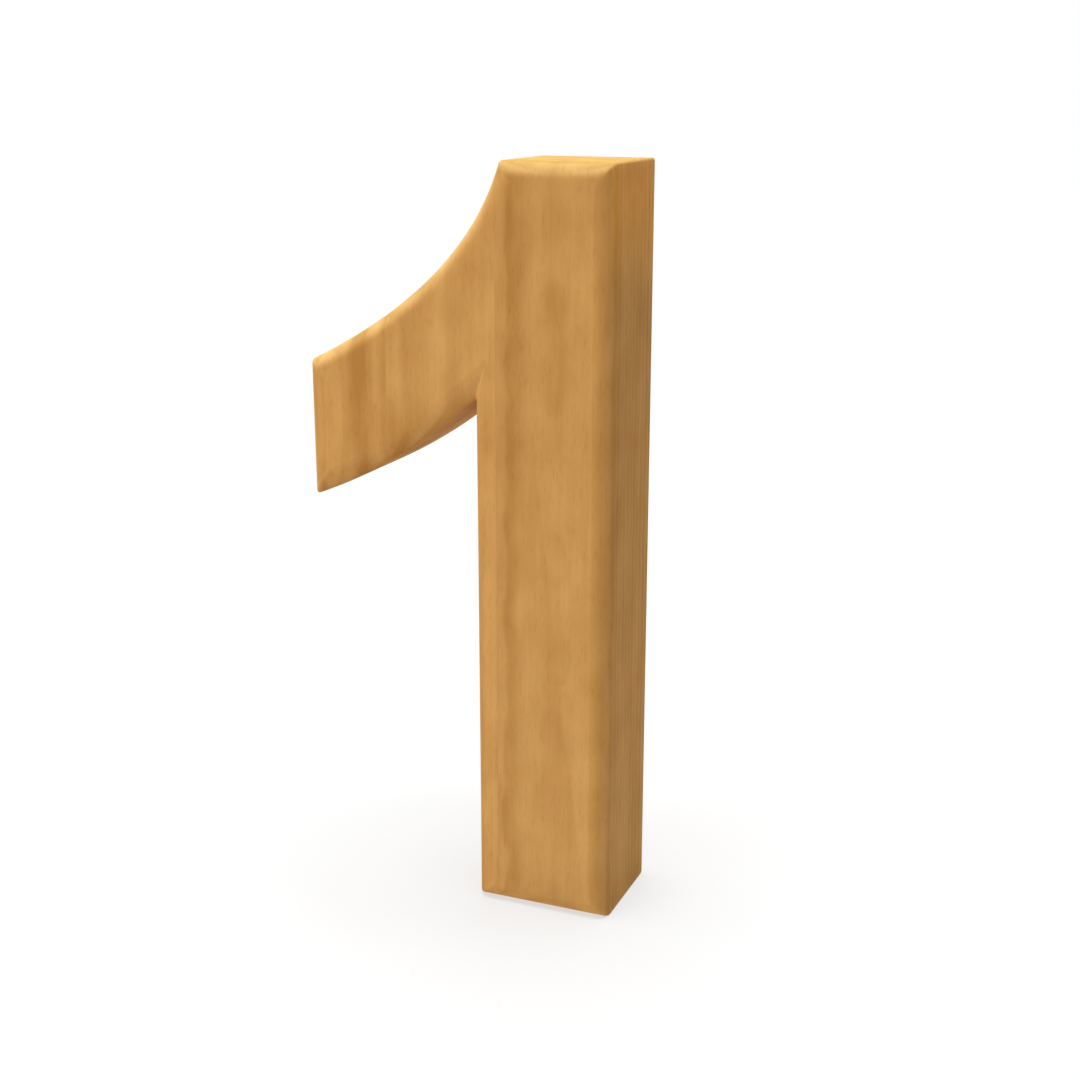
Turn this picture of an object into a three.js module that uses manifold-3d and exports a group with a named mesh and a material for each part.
// A free-standing wooden numeral one, for a number board, a shelf or a table.
//
// Three upright staves are glued edge to edge and lined up by fluted dowels. The numeral is sawn out
// of that blank, so the grain runs upright through stem and flag alike, and the edges of both faces
// are rounded over all the way round.
//
// Units are millimetres. The numeral is drawn in the XY plane with its front towards +Z, and the
// group at the end stands it up, so that +Z is up and the front faces -Y. The origin is the middle
// of the stem's foot.

import * as THREE from "three";
import { mergeVertices, toCreasedNormals } from "three/addons/utils/BufferGeometryUtils.js";
import Module from "manifold-3d";

// The numeral as a whole
const HEIGHT = 200; // foot to top
const DEPTH = 34; // front face to back face
const STEM_WIDTH = 38;
const ROUND_OVER = 4.4; // radius of the rounded edges of both faces

// The flag, which reaches out to the left of the stem
const FLAG_REACH = 48; // from the stem's left side to the tip
const TIP_DROP = 52.6; // from the numeral's top down to the tip's upper corner
const TIP_LENGTH = 37.1; // the tip's upright edge
const CROTCH_DROP = 60; // from the numeral's top down to where the underside meets the stem
const HOLLOW_SAG = 7.8; // how deep the upper edge is hollowed below a straight line
const HOLLOW_LEAN = 5; // how far the deepest point lies from that line's middle, towards the top
const UNDERSIDE_BELLY = 2.6; // how far the underside bellies below a straight line

// The staves
const STEM_COVER = 6.8; // what the flag's root stave adds to the stem's left side
const ROOT_STAVE_WIDTH = 31.2;
const GLUE_LINE = 0.2; // gap left for glue between two staves

// The dowels, two across each glue line
const DOWEL_DIAMETER = 6;
const DOWEL_LENGTH = 20;
const DOWEL_CHAMFER = 0.8;
const FLUTE_COUNT = 16;
const FLUTE_DEPTH = 0.3;
const HOLE_CLEARANCE = 0.2; // between a dowel and the wall of its hole
const HOLE_END_ROOM = 1; // left for glue past each end of a dowel

// Fineness of the round forms
const CURVE_STEPS = 24;
const ROUND_OVER_STEPS = 8;
const HOLE_SIDES = 24;
const CREASE_ANGLE = Math.PI / 6; // edges sharper than this are shaded as edges
const CORNER_STEPS = 20; // tries at finding where two sides meet

// Places that follow from the sizes above
const stemLeft = -STEM_WIDTH / 2;
const stemRight = STEM_WIDTH / 2;
const footLeft = new THREE.Vector2(stemLeft, 0);
const footRight = new THREE.Vector2(stemRight, 0);
const topRight = new THREE.Vector2(stemRight, HEIGHT);
const topLeft = new THREE.Vector2(stemLeft + STEM_COVER, HEIGHT);
const tipTop = new THREE.Vector2(stemLeft - FLAG_REACH, HEIGHT - TIP_DROP);
const tipBottom = new THREE.Vector2(tipTop.x, tipTop.y - TIP_LENGTH);
const crotch = new THREE.Vector2(stemLeft, HEIGHT - CROTCH_DROP);
const stemJoint = topLeft.x; // the glue line runs straight down from the top left corner
const tipJoint = stemJoint - ROOT_STAVE_WIDTH;

// Colours and finishes
const oiledWood = { roughness: 0.45, metalness: 0 };
const stemWood = new THREE.MeshStandardMaterial({ color: "#c49153", ...oiledWood });
const rootWood = new THREE.MeshStandardMaterial({ color: "#cb9a5a", ...oiledWood });
const tipWood = new THREE.MeshStandardMaterial({ color: "#bf8c4d", ...oiledWood });
const dowelWood = new THREE.MeshStandardMaterial({ color: "#d8b98f", roughness: 0.7, metalness: 0 });

// Solids: a closed geometry becomes a solid that can be cut and joined, and turns back into one.
const wasm = await Module();
wasm.setup();

function solidOf(geometry) {
  const bare = geometry.clone();
  bare.deleteAttribute("normal");
  bare.deleteAttribute("uv");
  const merged = mergeVertices(bare);
  return new wasm.Manifold(
    new wasm.Mesh({
      numProp: 3,
      vertProperties: merged.attributes.position.array,
      triVerts: new Uint32Array(merged.index.array),
    }),
  );
}

function geometryOf(solid) {
  const mesh = solid.getMesh();
  const geometry = new THREE.BufferGeometry();
  geometry.setAttribute("position", new THREE.BufferAttribute(mesh.vertProperties, 3));
  geometry.setIndex(new THREE.BufferAttribute(mesh.triVerts, 1));
  return toCreasedNormals(geometry, CREASE_ANGLE);
}

function named(name, geometry, material) {
  const mesh = new THREE.Mesh(geometry, material);
  mesh.name = name;
  return mesh;
}

// The outline, anticlockwise seen from the front. A side bows inwards from the straight line between
// its ends by sag, and its deepest point lies lean past that line's middle.
function side(from, to, sag = 0, lean = 0) {
  const along = to.clone().sub(from).normalize();
  const inwards = new THREE.Vector2(-along.y, along.x);
  const control = from.clone().add(to).multiplyScalar(0.5);
  control.addScaledVector(inwards, 2 * sag).addScaledVector(along, 2 * lean);
  return new THREE.QuadraticBezierCurve(from, control, to);
}

const hollow = side(topLeft, tipTop, HOLLOW_SAG, -HOLLOW_LEAN);
const underside = side(tipBottom, crotch, -UNDERSIDE_BELLY);
const outline = [
  side(footLeft, footRight),
  side(footRight, topRight),
  side(topRight, topLeft),
  hollow,
  side(tipTop, tipBottom),
  underside,
  side(crotch, footLeft),
];

// How fast a side runs at t, which may lie past its ends.
function speed(curve, t) {
  const first = curve.v1.clone().sub(curve.v0).multiplyScalar(2 * (1 - t));
  const second = curve.v2.clone().sub(curve.v1).multiplyScalar(2 * t);
  return first.add(second);
}

// The point of a side at t after the side has been moved inwards.
function insetPoint(curve, t, inset) {
  const along = speed(curve, t).normalize();
  const inwards = new THREE.Vector2(-along.y, along.x);
  return curve.getPoint(t).addScaledVector(inwards, inset);
}

// Where two neighbouring sides meet after both have been moved inwards, found by stepping along both.
function insetCorner(before, after, inset) {
  let end = 1;
  let start = 0;
  for (let step = 0; step < CORNER_STEPS; step++) {
    const miss = insetPoint(after, start, inset).sub(insetPoint(before, end, inset));
    const a = speed(before, end);
    const b = speed(after, start);
    const area = a.cross(b);
    end += miss.cross(b) / area;
    start += miss.cross(a) / area;
  }
  return { end, start };
}

// The whole outline moved inwards, with the same number of points whatever the distance.
function insetOutline(inset) {
  const count = outline.length;
  const corners = outline.map((before, i) => insetCorner(before, outline[(i + 1) % count], inset));
  return outline.flatMap((curve, i) => {
    const { start } = corners[(i + count - 1) % count];
    const { end } = corners[i];
    const steps = curve === hollow || curve === underside ? CURVE_STEPS : 1;
    return Array.from({ length: steps }, (_, k) =>
      insetPoint(curve, THREE.MathUtils.lerp(start, end, k / steps), inset),
    );
  });
}

// The height of a curved side at a place along X.
function heightAt(curve, x) {
  const ends = [curve.v0.x, curve.v2.x];
  const place = THREE.MathUtils.clamp(x, Math.min(...ends), Math.max(...ends));
  const bend = curve.v0.x - 2 * curve.v1.x + curve.v2.x;
  const lead = curve.v1.x - curve.v0.x;
  const rest = curve.v0.x - place;
  const root = Math.sign(lead) * Math.sqrt(lead * lead - bend * rest);
  return curve.getPoint(-rest / (lead + root)).y;
}

// The sawn and rounded numeral before it is parted into staves: rings of the outline from the front
// face to the back face, moved in along a quarter circle near each.
function roundedNumeral() {
  const rings = [];
  for (const face of [1, -1]) {
    for (let k = 0; k <= ROUND_OVER_STEPS; k++) {
      const step = face > 0 ? k : ROUND_OVER_STEPS - k;
      const turn = (step / ROUND_OVER_STEPS) * (Math.PI / 2);
      const inset = ROUND_OVER * (1 - Math.sin(turn));
      const z = face * (DEPTH / 2 - ROUND_OVER * (1 - Math.cos(turn)));
      rings.push({ points: insetOutline(inset), z });
    }
  }

  const size = rings[0].points.length;
  const positions = rings.flatMap(({ points, z }) => points.flatMap((p) => [p.x, p.y, z]));
  const faces = [];
  for (let ring = 0; ring + 1 < rings.length; ring++) {
    for (let i = 0; i < size; i++) {
      const a = ring * size + i;
      const b = ring * size + ((i + 1) % size);
      faces.push(a, a + size, b + size, a, b + size, b);
    }
  }
  const last = (rings.length - 1) * size;
  for (const [a, b, c] of THREE.ShapeUtils.triangulateShape(rings[0].points, [])) {
    faces.push(a, b, c);
    faces.push(last + a, last + c, last + b);
  }

  const geometry = new THREE.BufferGeometry();
  geometry.setAttribute("position", new THREE.Float32BufferAttribute(positions, 3));
  geometry.setIndex(faces);
  return solidOf(geometry);
}

// What lies between two upright planes across the whole numeral.
function slab(fromX, toX) {
  const geometry = new THREE.BoxGeometry(toX - fromX, 2 * HEIGHT, 2 * DEPTH);
  geometry.translate((fromX + toX) / 2, HEIGHT / 2, 0);
  return solidOf(geometry);
}

// Dowels: a joint's two dowels stand a quarter of the flag's clear height in from its edges.
const holeLength = DOWEL_LENGTH + 2 * HOLE_END_ROOM;

function dowelHeights(joint) {
  const low = heightAt(underside, joint + holeLength / 2);
  const high = heightAt(hollow, joint - holeLength / 2);
  const quarter = (high - low) / 4;
  return { lower: low + quarter, upper: high - quarter };
}

function dowelHole(joint, height) {
  const radius = DOWEL_DIAMETER / 2 + HOLE_CLEARANCE;
  const geometry = new THREE.CylinderGeometry(radius, radius, holeLength, HOLE_SIDES);
  geometry.rotateZ(Math.PI / 2);
  geometry.translate(joint, height, 0);
  return solidOf(geometry);
}

function dowelHoles(joint) {
  const { lower, upper } = dowelHeights(joint);
  return dowelHole(joint, lower).add(dowelHole(joint, upper));
}

function flutedSection() {
  const points = [];
  for (let i = 0; i < 2 * FLUTE_COUNT; i++) {
    const radius = DOWEL_DIAMETER / 2 - (i % 2) * FLUTE_DEPTH;
    const angle = (i * Math.PI) / FLUTE_COUNT;
    points.push(new THREE.Vector2(radius * Math.cos(angle), radius * Math.sin(angle)));
  }
  return new THREE.Shape(points);
}

function flutedDowel() {
  const straight = DOWEL_LENGTH - 2 * DOWEL_CHAMFER;
  const geometry = new THREE.ExtrudeGeometry(flutedSection(), {
    depth: straight,
    bevelEnabled: true,
    bevelThickness: DOWEL_CHAMFER,
    bevelSize: DOWEL_CHAMFER,
    bevelOffset: -DOWEL_CHAMFER,
    bevelSegments: 1,
  });
  geometry.translate(0, 0, -straight / 2);
  return geometry;
}

// Staves: each is the numeral between two glue lines, drilled for the dowels that cross them.
const whole = roundedNumeral();
const halfGlue = GLUE_LINE / 2;
const farLeft = tipTop.x - STEM_WIDTH; // well clear of the numeral
const farRight = stemRight + STEM_WIDTH;
const stemHoles = dowelHoles(stemJoint);
const tipHoles = dowelHoles(tipJoint);

const stemStave = whole.intersect(slab(stemJoint + halfGlue, farRight)).subtract(stemHoles);
const rootStave = whole
  .intersect(slab(tipJoint + halfGlue, stemJoint - halfGlue))
  .subtract(stemHoles)
  .subtract(tipHoles);
const tipStave = whole.intersect(slab(farLeft, tipJoint - halfGlue)).subtract(tipHoles);

// The scene: the drawing plane is turned up so that the numeral stands on its foot.
const numeral = new THREE.Group();
numeral.rotation.x = Math.PI / 2;
numeral.add(named("stem_stave", geometryOf(stemStave), stemWood));
numeral.add(named("flag_root_stave", geometryOf(rootStave), rootWood));
numeral.add(named("flag_tip_stave", geometryOf(tipStave), tipWood));

const dowelGeometry = flutedDowel();
for (const [where, joint] of [["stem", stemJoint], ["tip", tipJoint]]) {
  for (const [level, height] of Object.entries(dowelHeights(joint))) {
    const dowel = named(`${where}_joint_dowel_${level}`, dowelGeometry, dowelWood);
    dowel.rotation.y = Math.PI / 2;
    dowel.position.set(joint, height, 0);
    numeral.add(dowel);
  }
}

const part = new THREE.Group();
part.add(numeral);

export default part;
